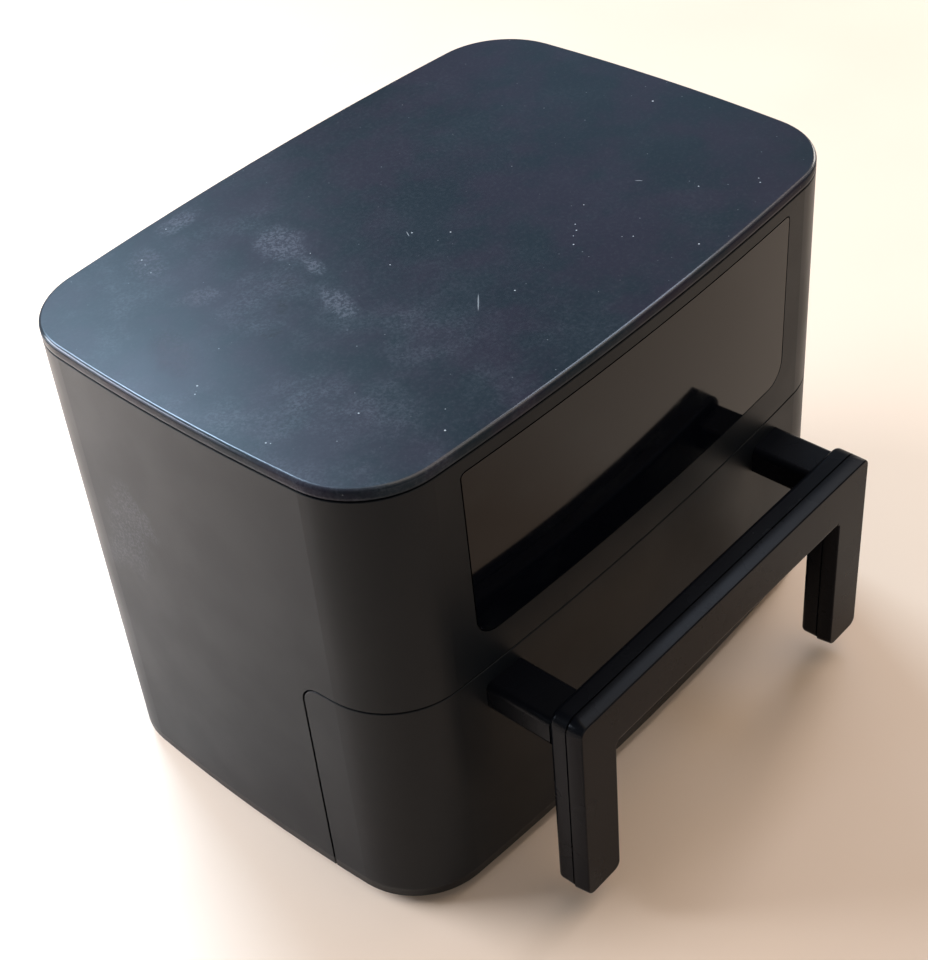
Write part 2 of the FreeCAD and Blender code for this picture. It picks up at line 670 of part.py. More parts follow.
def motor(x):
    """Open-frame fan motor: a can with a bearing cap, bored for the shaft."""
    can = post(MOTOR_RADIUS, x, 0, MOTOR_Z, MOTOR_Z + MOTOR_HEIGHT)
    can = can.makeFillet(3, edges_where(can, lambda b: b.ZMin > MOTOR_Z + MOTOR_HEIGHT - 0.01))
    cap = post(12, x, 0, MOTOR_Z + MOTOR_HEIGHT, MOTOR_Z + MOTOR_HEIGHT + 5)
    body = can.fuse(cap).removeSplitter()
    body = body.cut(post(SHAFT_RADIUS + SHAFT_FIT, x, 0, MOTOR_Z - 1, MOTOR_Z + MOTOR_HEIGHT + 1))
    for screw_x, screw_y in motor_screw_places():
        body = body.cut(post(MOTOR_SCREW_RADIUS, screw_x, screw_y, MOTOR_Z - 1, MOTOR_Z + 6))
    return body


def motor_bracket():
    """Bridge over the reflector that carries both motors on six posts."""
    bridge = rounded_box(-BRACKET_HALF_X, BRACKET_HALF_X, -BRACKET_HALF_Y, BRACKET_HALF_Y,
                         BRACKET_Z, BRACKET_Z + BRACKET_THICK, 10)
    pieces = [bridge]
    for x in (-BRACKET_HALF_X + 6, 0, BRACKET_HALF_X - 6):
        for y in (-BRACKET_HALF_Y + 6, BRACKET_HALF_Y - 6):
            pieces.append(post(4, x, y, REFLECTOR_TOP_Z, BRACKET_Z))
    bracket = fuse_all(pieces)
    for x in (-FAN_X, FAN_X):
        bracket = bracket.cut(post(SHAFT_RADIUS + 3, x, 0, BRACKET_Z - 1, BRACKET_Z + 5))
    for x, y in motor_screw_places():
        bracket = bracket.cut(post(MOTOR_SCREW_RADIUS, x, y, BRACKET_Z - 1, BRACKET_Z + 5))
    return bracket


def motor_screws():
    screws = []
    for x, y in motor_screw_places():
        head = post(3, x, y, BRACKET_Z - 2, BRACKET_Z)
        screws.append(head.fuse(post(MOTOR_SCREW_RADIUS, x, y, BRACKET_Z, MOTOR_Z + 6)).removeSplitter())
    return Part.makeCompound(screws)


def heater_bushes():
    """Ceramic bushes that hold the element ends in the reflector."""
    bushes = []
    for x in (-FAN_X, FAN_X):
        for end_x, end_y in heater_ends(x):
            bush = post(BUSH_RADIUS, end_x, end_y, REFLECTOR_TOP_Z - SHEET, REFLECTOR_TOP_Z)
            collar = post(BUSH_RADIUS + 2, end_x, end_y, REFLECTOR_TOP_Z, REFLECTOR_TOP_Z + 4)
            bore = post(HEATER_TUBE, end_x, end_y, REFLECTOR_TOP_Z - 5, REFLECTOR_TOP_Z + 9)
            bushes.append(bush.fuse(collar).removeSplitter().cut(bore))
    return Part.makeCompound(bushes)


def temperature_sensor():
    probe = post(SENSOR_RADIUS, 0, SENSOR_Y, REFLECTOR_Z + 8, REFLECTOR_TOP_Z)
    flange = rounded_box(-9, 9, SENSOR_Y - 5, SENSOR_Y + 5, REFLECTOR_TOP_Z, REFLECTOR_TOP_Z + 2, 4)
    return probe.fuse(flange).removeSplitter()


def exhaust_duct():
    """Square duct from the reflector to the louvres, with four posts on top for the power board."""
    reach = prism(WALL + 2, 0, BODY_HEIGHT)
    outside = box(-DUCT_HALF, DUCT_HALF, REFLECTOR_HALF_Y, FAR, DUCT_BOTTOM_Z, DUCT_TOP_Z).common(reach)
    inside = box(-DUCT_HALF + DUCT_WALL, DUCT_HALF - DUCT_WALL, 0, FAR,
                 DUCT_BOTTOM_Z + DUCT_WALL, DUCT_TOP_Z - DUCT_WALL)
    pieces = [outside.cut(inside)]
    for x in (-DUCT_HALF + 8, DUCT_HALF - 8):
        for y in (REFLECTOR_HALF_Y + 10, HALF_DEPTH - 16):
            pieces.append(post(4, x, y, DUCT_TOP_Z, DUCT_TOP_Z + DUCT_POST_HEIGHT))
    return fuse_all(pieces)


def power_board():
    """Supply board with its relay and capacitor."""
    z0 = DUCT_TOP_Z + DUCT_POST_HEIGHT
    board = box(-POWER_HALF, POWER_HALF, REFLECTOR_HALF_Y + 4, HALF_DEPTH - 10, z0, z0 + BOARD_THICK)
    relay = box(-50, -20, REFLECTOR_HALF_Y + 14, REFLECTOR_HALF_Y + 32, z0 + BOARD_THICK, z0 + 18)
    capacitor = post(9, 30, REFLECTOR_HALF_Y + 24, z0 + BOARD_THICK, z0 + 24)
    return fuse_all([board, relay, capacitor])


def drawer_sensor():
    """Reed sensor over the drawer that knows when it is shut."""
    z0 = PARTING_Z + 3
    return box(SENSE_X - 10, SENSE_X + 10, INNER_FRONT_Y - 3, INNER_FRONT_Y + 9, z0, z0 + 5)


def drawer_magnet():
    """Magnet clipped to the drawer under the sensor."""
    z1 = PARTING_Z - PARTING_GAP - 6
    back = INNER_FRONT_Y
    return box(SENSE_X - 6, SENSE_X + 6, back - 4, back, z1 - 10, z1)


def drawer_front():
    """Lower front of the body: wraps both front corners back to the side seams."""
    block = prism(0, DRAWER_BOTTOM_Z, PARTING_Z).common(drawer_zone(PARTING_GAP))
    core = prism(1.5, 0, BODY_HEIGHT)
    rim = [edge for edge in block.Edges if not core.isInside(edge.CenterOfMass, 0.01, True)]
    rim = [edge for edge in rim if edge.BoundBox.XLength < 2 * PAN_HALF]
    upright = [edge for edge in rim if is_corner_line(edge)]
    outline = [edge for edge in rim if not any(edge.isSame(line) for line in upright)]
    block = block.makeFillet(DRAWER_EDGE_RADIUS, outline)
    shell = block.cut(prism(DRAWER_WALL, 0, BODY_HEIGHT))
    for x, z in handle_screw_places():
        shell = shell.cut(rod_along_y(HANDLE_SCREW_RADIUS, x, z, -FAR, 0))
    return shell


def is_corner_line(edge):
    """An upright line on the outer wall ahead of the seam, where two tangent walls meet."""
    bounds = edge.BoundBox
    return bounds.ZLength > 50 and bounds.YMax < SEAM_Y - PARTING_GAP - 0.5


def drawer_inner():
    """Inner front of the drawer that carries the pan and takes the handle screws."""
    back = INNER_FRONT_Y + INNER_FRONT_THICK
    slab = prism(DRAWER_WALL, DRAWER_BOTTOM_Z + 2, PARTING_Z - PARTING_GAP - 2)
    slab = slab.common(box(-FAR, FAR, INNER_FRONT_Y, back, 0, BODY_HEIGHT))
    for x, z in handle_screw_places():
        slab = slab.cut(rod_along_y(HANDLE_SCREW_RADIUS, x, z, -FAR, 0))
        slab = slab.cut(rod_along_y(HANDLE_SCREW_HEAD, x, z, back - HANDLE_SCREW_SINK, FAR))
    return slab


def drawer_seal():
    """Silicone ring between the drawer and the mouth of the chamber."""
    front = PAN_FRONT_Y
    corners = [(-1, 1), (1, 1), (1, -1), (-1, -1)]
    low = DRAWER_BOTTOM_Z + 4
    high = PARTING_Z - PARTING_GAP - 3
    middle = (low + high) / 2
    half = (high - low) / 2
    outer = [(sx * (PAN_HALF + 12), middle + sz * half) for sx, sz in corners]
    inner = [(sx * (PAN_HALF + 6.5), middle + sz * (half - 2.5)) for sx, sz in corners]
    ring = front_outline(outer, [8] * 4, front, FRAME_Y - 0.6)
    return ring.cut(front_outline(inner, [6] * 4, front - 1, FRAME_Y + 1))


def pan():
    """Open pan with rounded corners, a rounded floor and a rim that runs on the rails."""
    outside = rounded_box(-PAN_HALF, PAN_HALF, PAN_FRONT_Y, PAN_BACK_Y, PAN_BOTTOM_Z, PAN_TOP_Z, PAN_CORNER)
    floor_edges = edges_where(outside, lambda b: b.ZMax < PAN_BOTTOM_Z + 0.01)
    outside = outside.makeFillet(PAN_FLOOR_RADIUS, floor_edges)
    inside = rounded_box(-PAN_HALF + PAN_WALL, PAN_HALF - PAN_WALL, PAN_FRONT_Y + PAN_WALL,
                         PAN_BACK_Y - PAN_WALL, PAN_BOTTOM_Z + PAN_WALL, PAN_TOP_Z + 5, PAN_CORNER - PAN_WALL)
    floor_edges = edges_where(inside, lambda b: b.ZMax < PAN_BOTTOM_Z + PAN_WALL + 0.01)
    inside = inside.makeFillet(PAN_FLOOR_RADIUS - PAN_WALL, floor_edges)
    rim = rounded_box(-PAN_HALF - PAN_RIM, PAN_HALF + PAN_RIM, PAN_FRONT_Y, PAN_BACK_Y + PAN_RIM,
                      PAN_TOP_Z - PAN_WALL, PAN_TOP_Z, PAN_CORNER)
    return outside.fuse(rim).removeSplitter().cut(inside)


def crisper_plate():
    """Slotted plate on four feet that lies in the pan."""
    half = PAN_HALF - PAN_WALL - CRISPER_GAP
    front = PAN_FRONT_Y + PAN_WALL + CRISPER_GAP
    back = PAN_BACK_Y - PAN_WALL - CRISPER_GAP
    plate = rounded_box(-half, half, front, back, CRISPER_Z, CRISPER_Z + CRISPER_THICK,
                        PAN_CORNER - CRISPER_GAP)
    middle = (front + back) / 2
    slots = []
    for column in range(SLOT_COLUMNS):
        for row in range(SLOT_ROWS):
            x = (column - (SLOT_COLUMNS - 1) / 2) * SLOT_PITCH_X
            y = middle + (row - (SLOT_ROWS - 1) / 2) * SLOT_PITCH_Y
            slots.append(rounded_box(x - SLOT_LENGTH / 2, x + SLOT_LENGTH / 2, y - SLOT_WIDTH / 2,
                                     y + SLOT_WIDTH / 2, CRISPER_Z - 1, CRISPER_Z + 5, SLOT_WIDTH / 2 - 0.05))
    plate = plate.cut(Part.makeCompound(slots))
    floor = PAN_BOTTOM_Z + PAN_WALL + RUN_GAP
    feet = []
    for x in (-half + CRISPER_FOOT_X_INSET, half - CRISPER_FOOT_X_INSET):
        for y in (front + CRISPER_FOOT_Y_INSET, back - CRISPER_FOOT_Y_INSET):
            feet.append(Part.makeCone(CRISPER_FOOT_TIP, CRISPER_FOOT_RADIUS, CRISPER_Z - floor,
                                      Vector(x, y, floor)))
    return fuse_all([plate] + feet)


def crisper_bumpers():
    """Silicone clips on the plate's edge that keep it off the pan."""
    half = PAN_HALF - PAN_WALL - CRISPER_GAP
    front = PAN_FRONT_Y + PAN_WALL + CRISPER_GAP
    back = PAN_BACK_Y - PAN_WALL - CRISPER_GAP
    plate = rounded_box(-half, half, front, back, CRISPER_Z, CRISPER_Z + CRISPER_THICK,
                        PAN_CORNER - CRISPER_GAP)
    bumpers = []
    for x in (-BUMPER_X, BUMPER_X):
        for edge, outward in ((front, -1), (back, 1)):
            ends = sorted((edge + outward * (CRISPER_GAP - RUN_GAP), edge - outward * BUMPER_LAP))
            clip = box(x - BUMPER_HALF, x + BUMPER_HALF, ends[0], ends[1],
                       CRISPER_Z - BUMPER_HEIGHT, CRISPER_Z + CRISPER_THICK + BUMPER_HEIGHT)
            bumpers.append(clip.cut(plate))
    return Part.makeCompound(bumpers)


def handle_screw_places():
    z = ARM_TOP_Z - ARM_HEIGHT / 2
    places = []
    for side in (-1, 1):
        for offset in (-HANDLE_SCREW_APART / 2, HANDLE_SCREW_APART / 2):
            places.append((side * LEG_CENTRE + offset, z))
    return places


def handle_screws():
    """Screws from inside the drawer into the two arms."""
    screws = []
    head_y = PAN_FRONT_Y - HANDLE_SCREW_SINK
    for x, z in handle_screw_places():
        head = rod_along_y(HANDLE_SCREW_HEAD, x, z, head_y, PAN_FRONT_Y)
        shank = rod_along_y(HANDLE_SCREW_RADIUS, x, z, -HALF_DEPTH - HANDLE_SCREW_REACH, head_y)
        screws.append(head.fuse(shank).removeSplitter())
    return Part.makeCompound(screws)


def handle_arm(side):
    """Short arm that stands out of the drawer front and carries the grip."""
    x0 = side * LEG_CENTRE - ARM_WIDTH / 2
    block = box(x0, x0 + ARM_WIDTH, HANDLE_BACK_Y, -HALF_DEPTH + 20, ARM_TOP_Z - ARM_HEIGHT, ARM_TOP_Z)
    along = edges_where(block, lambda b: b.YLength > 10)
    arm = block.makeFillet(ARM_RADIUS, along).cut(prism(0, 0, BODY_HEIGHT))
    for x, z in handle_screw_places():
        arm = arm.cut(rod_along_y(HANDLE_SCREW_RADIUS, x, z, -HALF_DEPTH - HANDLE_SCREW_REACH, 0))
    return arm


def fork_face(inset, bottom_z, corner, y):
    """The grip's outline from the front, drawn in by an inset: a bar with a leg hanging from each end."""
    out = HANDLE_HALF - inset
    inn = HANDLE_HALF - LEG_WIDTH + inset
    top = HANDLE_TOP_Z - inset
    under = HANDLE_TOP_Z - HANDLE_BAR + inset
    corners = [(-out, top), (out, top), (out, bottom_z), (inn, bottom_z),
               (inn, under), (-inn, under), (-inn, bottom_z), (-out, bottom_z)]
    radii = [corner] * 2 + [LEG_CORNER] * 2 + [HANDLE_INNER_CORNER] * 2 + [LEG_CORNER] * 2
    return rounded_outline([Vector(x, y, z) for x, z in corners], radii)


def edge_relief(x0, x1, y, z, back, up, radius):
    """What rounding takes off a straight edge along X; back and up (1 or -1) point into the piece."""
    ys = sorted((y, y + back * radius))
    zs = sorted((z, z + up * radius))
    corner = box(x0, x1, ys[0], ys[1], zs[0], zs[1])
    axis = Vector(x0, y + back * radius, z + up * radius)
    return corner.cut(Part.makeCylinder(radius, x1 - x0, axis, Vector(1, 0, 0)))


def handle_back():
    """Rear shell of the grip, with rounded rear edges and toes."""
    bottom_z = LEG_BOTTOM_Z + REAR_SHELL_RISE
    block = fork_face(0, bottom_z, HANDLE_CORNER, COVER_Y).extrude(Vector(0, HANDLE_BACK_Y - COVER_Y, 0))
    rear = edges_where(block, lambda b: b.YMin > HANDLE_BACK_Y - 0.01)
    block = block.makeFillet(REAR_SHELL_EDGE, rear)
    for side in (-1, 1):
        x0 = side * LEG_CENTRE - LEG_WIDTH
        toe = edge_relief(x0, x0 + 2 * LEG_WIDTH, HANDLE_BACK_Y, bottom_z, -1, 1, REAR_SHELL_TOE)
        block = block.cut(toe)
    return block


def handle_front():
    """Front cover of the grip: drafted sides, a crisp front outline and a groove along the seam."""
    groove_y = COVER_Y - GROOVE_WIDTH
    front_corner = HANDLE_CORNER / 2
    seam_wire = fork_face(0, LEG_BOTTOM_Z, HANDLE_CORNER, groove_y).OuterWire
    front_wire = fork_face(COVER_DRAFT, LEG_BOTTOM_Z, front_corner, HANDLE_FRONT_Y).OuterWire
    cover = Part.makeLoft([seam_wire, front_wire], True, True)
    front = edges_where(cover, lambda b: b.YMax < HANDLE_FRONT_Y + 0.01)
    cover = cover.makeFillet(COVER_EDGE, front)
    inner = HANDLE_HALF - LEG_WIDTH
    under = HANDLE_TOP_Z - HANDLE_BAR
    cover = cover.cut(edge_relief(-inner, inner, HANDLE_FRONT_Y, under, 1, 1, COVER_UNDER_EDGE))
    bottom_z = LEG_BOTTOM_Z + REAR_SHELL_RISE + GROOVE_DEPTH
    tongue = fork_face(GROOVE_DEPTH, bottom_z, HANDLE_CORNER - GROOVE_DEPTH, groove_y)
    return cover.fuse(tongue.extrude(Vector(0, GROOVE_WIDTH, 0))).removeSplitter()


def main():
    os.makedirs("parts", exist_ok=True)
    save("outer_shell", outer_shell())
    save("top_plate", top_plate())
    save("control_panel", control_panel())
    save("panel_backing", panel_backing())
    save("control_board", control_board())
    save("display_module", display_module())
    save("base_plate", base_plate())
    save("rubber_feet", rubber_feet())
    save("foot_screws", foot_screws())
    save("rear_cover", rear_cover())
    save("cord_gland", cord_gland())
    save("front_frame", front_frame())
    save("cavity_liner", cavity_liner())
    save("left_rail", drawer_rail(-1))
    save("right_rail", drawer_rail(1))
    save("heater_guard", heater_guard())
    save("heat_reflector", heat_reflector())
    save("heater_bushes", heater_bushes())
    save("motor_bracket", motor_bracket())
    save("motor_screws", motor_screws())
    save("temperature_sensor", temperature_sensor())
    save("exhaust_duct", exhaust_duct())
    save("power_board", power_board())
    save("drawer_sensor", drawer_sensor())
    for name, x in (("left", -FAN_X), ("right", FAN_X)):
        save(name + "_heating_element", heating_element(x))
        save(name + "_motor", motor(x))
        save(name + "_hot_fan", hot_fan(x))
        save(name + "_cooling_fan", cooling_fan(x))
        save(name + "_fan_shaft", fan_shaft(x))
    save("drawer_front", drawer_front())
    save("drawer_inner", drawer_inner())
    save("drawer_seal", drawer_seal())
    save("drawer_magnet", drawer_magnet())
    save("pan", pan())
    save("left_handle_arm", handle_arm(-1))
    save("right_handle_arm", handle_arm(1))
    save("handle_back", handle_back())
    save("handle_front", handle_front())
    save("handle_screws", handle_screws())
    save("crisper_plate", crisper_plate())
    save("crisper_bumpers", crisper_bumpers())


main()
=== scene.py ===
import math

import bmesh
import bpy
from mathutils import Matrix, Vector

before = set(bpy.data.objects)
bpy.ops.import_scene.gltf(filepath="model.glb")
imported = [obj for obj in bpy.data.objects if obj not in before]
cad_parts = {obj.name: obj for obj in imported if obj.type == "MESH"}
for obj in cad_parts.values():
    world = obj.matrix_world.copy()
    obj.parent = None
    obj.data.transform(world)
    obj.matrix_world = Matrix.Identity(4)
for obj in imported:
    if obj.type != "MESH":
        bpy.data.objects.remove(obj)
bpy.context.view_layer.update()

# Camera, fitted to the photograph: place in metres, turn in degrees, lens and sensor in millimetres
CAMERA_PLACE = (-0.5530, -0.5286, 0.7870)
CAMERA_TURN = (49.530, 4.378, -48.471)
CAMERA_LENS = 66.88
CAMERA_SENSOR = 36.0

# Floor and room
FLOOR_HALF = 6.0
FLOOR_COLOUR = (0.80, 0.61, 0.46)
FLOOR_SHADE = 0.96
ROOM_COLOUR = (0.92, 0.95, 1.0)
ROOM_STRENGTH = 0.245

# Soft lamps: place, aim and size in metres, power in watts, colour, and spread in degrees if it is narrowed
FULL_SPREAD = 180.0
LAMPS = {
    "window": dict(place=(-0.85, 1.2, 0.75), aim=(-0.69, 0.92, 0.0), size=(0.9, 0.6), power=46.0,
                   colour=(0.75, 0.85, 1.0), spread=110.0),
    "sky": dict(place=(0.75, 2.1, 2.35), aim=(0.0, 0.0, 0.25), size=(0.95, 0.8), power=84.0,
                colour=(0.55, 0.77, 1.0)),
    "side": dict(place=(1.41, -0.02, 2.06), aim=(0.0, -0.16, 0.146), size=(1.1, 0.5), power=10.0,
                 colour=(0.55, 0.72, 1.0)),
    "corner": dict(place=(1.75, 1.25, 1.32), aim=(0.19, 0.05, 0.29), size=(0.7, 0.7), power=1.5,
                   colour=(0.40, 0.68, 1.0)),
    "right": dict(place=(2.4, 0.2, 1.0), aim=(1.8, 0.1, 0.0), size=(0.9, 0.9), power=20.0,
                  colour=(1.0, 0.93, 0.85)),
    "overhead": dict(place=(0.95, -0.45, 1.9), aim=(0.5, -0.25, 0.0), size=(2.0, 2.0), power=20.0,
                     colour=(1.0, 0.82, 0.62)),
    "front": dict(place=(-0.3, -3.2, 1.0), aim=(0.0, 0.0, 0.15), size=(3.0, 1.4), power=18.0,
                  colour=(1.0, 0.97, 0.94)),
}

# Colours, as a pair where a finish changes from one to the other
SHELL_BLACK = ((0.0043, 0.0056, 0.0073), (0.0051, 0.0065, 0.0084))
HANDLE_BLACK = ((0.0030, 0.0036, 0.0055), (0.0042, 0.0050, 0.0072))
BASE_BLACK = ((0.007, 0.007, 0.0072), (0.010, 0.010, 0.0102))
PANEL_BLACK = ((0.0012, 0.0015, 0.0028), (0.004, 0.005, 0.006))
TOP_TEAL = (0.0060, 0.0122, 0.0180)
TOP_VIOLET = (0.0140, 0.0118, 0.0215)
TOP_MOTTLE = (0.038, 0.042, 0.050)
SMUDGE_COLOUR = (0.15, 0.16, 0.19)
DUST_COLOUR = (0.60, 0.62, 0.64)
SPOT_COLOUR = (0.006, 0.006, 0.007)
COATING_BLACK = (0.022, 0.022, 0.024)
COATING_FLAKE = (0.17, 0.17, 0.17)
CHAMBER_STEEL = ((0.55, 0.55, 0.54), (0.42, 0.41, 0.40))
SCREW_STEEL = ((0.62, 0.62, 0.61), (0.45, 0.45, 0.45))
FAN_ALUMINIUM = ((0.74, 0.74, 0.75), (0.6, 0.6, 0.61))
MOTOR_STEEL = ((0.42, 0.42, 0.43), (0.3, 0.3, 0.3))
ELEMENT_OXIDE = (0.10, 0.085, 0.075)
ELEMENT_STRAW = (0.20, 0.16, 0.12)
ELEMENT_BLUE = (0.10, 0.11, 0.15)
BOARD_MASK = (0.012, 0.085, 0.035)
BOARD_RUN = (0.03, 0.17, 0.07)
SEAL_RUBBER = (0.028, 0.028, 0.029)
FOOT_RUBBER = (0.02, 0.02, 0.02)
GREY_PLASTIC = ((0.5, 0.5, 0.48), (0.42, 0.42, 0.41))
WHITE_CERAMIC = ((0.82, 0.81, 0.77), (0.74, 0.73, 0.69))

# How often metal streaks repeat along X, Y and Z: few times along the rolling, often across it
CHAMBER_STREAKS = (6, 6, 320)
SCREW_STREAKS = (240, 240, 40)
FAN_STREAKS = (90, 90, 90)
MOTOR_STREAKS = (60, 60, 300)

# Edges that bend away: axis, where the bend starts and ends, slope at its end, and at its start the slope
# the other way
SHELL_FOOT = ("Z", 0.0135, 0.0075, 1.2)
COVER_BAND = ("Y", -0.1509, -0.1590, 0.15, 0.15)
TOP_EDGE = ("Z", 0.2880, 0.2912, 0.38, -0.27)

# The top's height, and the polish of its rounded rim: how far down it comes in and fades out
TOP_Z = 0.293
TOP_EDGE_RADIUS = 0.002
RIM_POLISH = 0.7
RIM_START = (2e-6, 2e-5)
RIM_END = (0.5 * TOP_EDGE_RADIUS, 0.3 * TOP_EDGE_RADIUS)

# The pale film on the top, lighter towards the left: its strength at one place across the top and at another
FILM_ACROSS = (0.03, -0.15)
FILM_STRENGTH = (0.05, 0.3)

# Marks on the top: place x and y, half length, half width and turn in degrees, or for a speck its radius
TOP_SMUDGES = [
    (-0.059, 0.086, 0.026, 0.019, 70),
    (-0.080, 0.023, 0.027, 0.010, 74),
    (-0.114, 0.128, 0.024, 0.014, 64),
    (-0.078, 0.146, 0.022, 0.010, 4),
    (-0.118, 0.084, 0.022, 0.011, 150),
    (-0.064, 0.056, 0.014, 0.007, 80),
    (-0.156, 0.060, 0.030, 0.014, 60),
]
TOP_DARK_SPOTS = [
    (-0.118, 0.031, 0.008, 0.005, -20),
    (-0.098, 0.044, 0.012, 0.005, 45),
    (-0.082, 0.056, 0.007, 0.005, 45),
]
TOP_SCRATCHES = [
    (-0.040, -0.033, 0.0088, 0.00045, 41),
    (0.093, -0.029, 0.0026, 0.00040, -60),
    (-0.015, 0.037, 0.0030, 0.00035, 60),
]
TOP_SPECKS = [
    (-0.112, 0.134, 0.0007), (-0.114, 0.129, 0.0005), (-0.117, 0.121, 0.0005),
    (-0.085, 0.146, 0.0005), (0.165, 0.016, 0.0008), (0.130, -0.079, 0.0005),
    (0.127, -0.082, 0.0006), (0.106, -0.058, 0.0006), (0.058, -0.020, 0.0005),
    (0.041, -0.028, 0.0005), (0.037, -0.032, 0.0006), (0.032, -0.034, 0.0004),
    (0.026, -0.039, 0.0006), (0.062, -0.090, 0.0007), (0.049, -0.059, 0.0005),
    (-0.022, -0.041, 0.0006), (-0.001, 0.020, 0.0006), (-0.013, 0.036, 0.0006),
    (-0.041, 0.025, 0.0005), (-0.057, 0.066, 0.0004), (-0.167, 0.030, 0.0007),
    (-0.172, 0.026, 0.0005), (-0.177, -0.027, 0.0006), (-0.176, -0.029, 0.0004),
    (-0.137, -0.046, 0.0006), (-0.123, -0.086, 0.0007),
]

# Marks on the left side: place x, y and z, half width, half height and turn in degrees
SIDE_MARK_DEPTH = 0.06
SIDE_SMUDGE_SHARE = 0.18
SIDE_SMUDGES = [
    (-0.189, 0.086, 0.188, 0.024, 0.048, 14),
    (-0.189, 0.074, 0.205, 0.015, 0.024, -35),
    (-0.189, 0.100, 0.168, 0.012, 0.030, 32),
]

# Most of a noise lies between these values
NOISE_LOW = 0.3
NOISE_HIGH = 0.7


class Recipe:
    """A material's node tree, with short calls for the nodes that the finishes use."""

    def __init__(self, name):
        self.material = bpy.data.materials.new(name)
        self.material.use_nodes = True
        self.tree = self.material.node_tree
        self.shader = self.tree.nodes["Principled BSDF"]
        self.place = self.node("ShaderNodeTexCoord").outputs["Object"]

    def node(self, kind, **settings):
        made = self.tree.nodes.new(kind)
        for key, value in settings.items():
            setattr(made, key, value)
        return made

    def feed(self, socket, value):
        """A number or colour is set on a socket, and a node's output is linked to it."""
        if isinstance(value, bpy.types.NodeSocket):
            self.tree.links.new(value, socket)
        else:
            socket.default_value = value

    def set(self, **values):
        for key, value in values.items():
            self.feed(self.shader.inputs[key.replace("_", " ")], value)

    def mapped(self, scale=(1, 1, 1), move=(0, 0, 0)):
        """The place on the surface, stretched and moved."""
        made = self.node("ShaderNodeMapping")
        self.feed(made.inputs["Vector"], self.place)
        made.inputs["Scale"].default_value = scale
        made.inputs["Location"].default_value = move
        return made.outputs["Vector"]

    def noise(self, scale, detail, rough=0.5, place=None):
        made = self.node("ShaderNodeTexNoise")
        self.feed(made.inputs["Vector"], place or self.place)
        made.inputs["Scale"].default_value = scale
        made.inputs["Detail"].default_value = detail
        made.inputs["Roughness"].default_value = rough
        return made.outputs["Fac"]

    def cells(self, scale, feature="F1"):
        made = self.node("ShaderNodeTexVoronoi", feature=feature)
        self.feed(made.inputs["Vector"], self.place)
        made.inputs["Scale"].default_value = scale
        return made

    def range(self, value, low, high, to_low=0.0, to_high=1.0):
        """A value between low and high, moved to another range and held there."""
        made = self.node("ShaderNodeMapRange", interpolation_type="SMOOTHSTEP")
        self.feed(made.inputs["Value"], value)
        made.inputs["From Min"].default_value = low
        made.inputs["From Max"].default_value = high
        made.inputs["To Min"].default_value = to_low
        made.inputs["To Max"].default_value = to_high
        return made.outputs["Result"]

    def vary(self, noise, to_low=0.0, to_high=1.0):
        """A noise, spread over a range of its own."""
        return self.range(noise, NOISE_LOW, NOISE_HIGH, to_low, to_high)

    def math(self, operation, first, second=0.0):
        made = self.node("ShaderNodeMath", operation=operation)
        self.feed(made.inputs[0], first)
        self.feed(made.inputs[1], second)
        return made.outputs["Value"]

    def plus(self, first, second):
        return self.math("ADD", first, second)

    def times(self, first, second):
        return self.math("MULTIPLY", first, second)

    def most(self, values):
        """The greatest of several values."""
        result = values[0]
        for value in values[1:]:
            result = self.math("MAXIMUM", result, value)
        return result

    def mix(self, share, first, second):
        """A colour between two colours."""
        made = self.node("ShaderNodeMix", data_type="RGBA")
        self.feed(made.inputs["Factor"], share)
        for socket, value in ((made.inputs[6], first), (made.inputs[7], second)):
            self.feed(socket, value if isinstance(value, bpy.types.NodeSocket) else (*value, 1.0))
        return made.outputs[2]

    def mark(self, place, half, turn):
        """1 in the middle of an ellipse on the surface, falling to 0 at its edge."""
        made = self.node("ShaderNodeMapping", vector_type="TEXTURE")
        self.feed(made.inputs["Vector"], self.place)
        made.inputs["Location"].default_value = place
        made.inputs["Rotation"].default_value = [math.radians(angle) for angle in turn]
        made.inputs["Scale"].default_value = half
        blob = self.node("ShaderNodeTexGradient", gradient_type="SPHERICAL")
        self.feed(blob.inputs["Vector"], made.outputs["Vector"])
        return blob.outputs["Fac"]

    def along(self, axis):
        """How far along an axis the surface is."""
        parts = self.node("ShaderNodeSeparateXYZ")
        self.feed(parts.inputs["Vector"], self.place)
        return parts.outputs[axis]

    def eased(self, axis, start, end, slope, lead=0.0):
        """Normal of a surface that bends away along an axis, from a slope at the start to one at the end."""
        run = self.math("SUBTRACT", self.along(axis), start)
        run = self.math("MAXIMUM", self.times(run, math.copysign(1.0, end - start)), 0.0)
        bend = self.times(run, -(slope + lead) / (2.0 * abs(end - start)))
        return self.bump(self.times(run, self.plus(bend, lead)), 1.0, 1.0)

    def bump(self, height, strength, distance, onto=None):
        made = self.node("ShaderNodeBump")
        self.feed(made.inputs["Height"], height)
        made.inputs["Strength"].default_value = strength
        made.inputs["Distance"].default_value = distance
        if onto:
            self.feed(made.inputs["Normal"], onto)
        return made.outputs["Normal"]


def shaded(colour, share):
    """A colour made darker or lighter."""
    return tuple(share * value for value in colour)


def grainy(recipe, marks, ragged, grain):
    """Marks with a torn outline, broken up into grains."""
    torn = recipe.plus(marks, recipe.noise(ragged, 4.0, 0.65))
    area = recipe.times(recipe.range(torn, 0.58, 1.2), recipe.range(marks, 0.0, 0.3))
    grains = recipe.range(recipe.noise(grain, 3.0, 0.65), 0.42, 0.64, 0.12, 1.0)
    return recipe.times(area, grains)


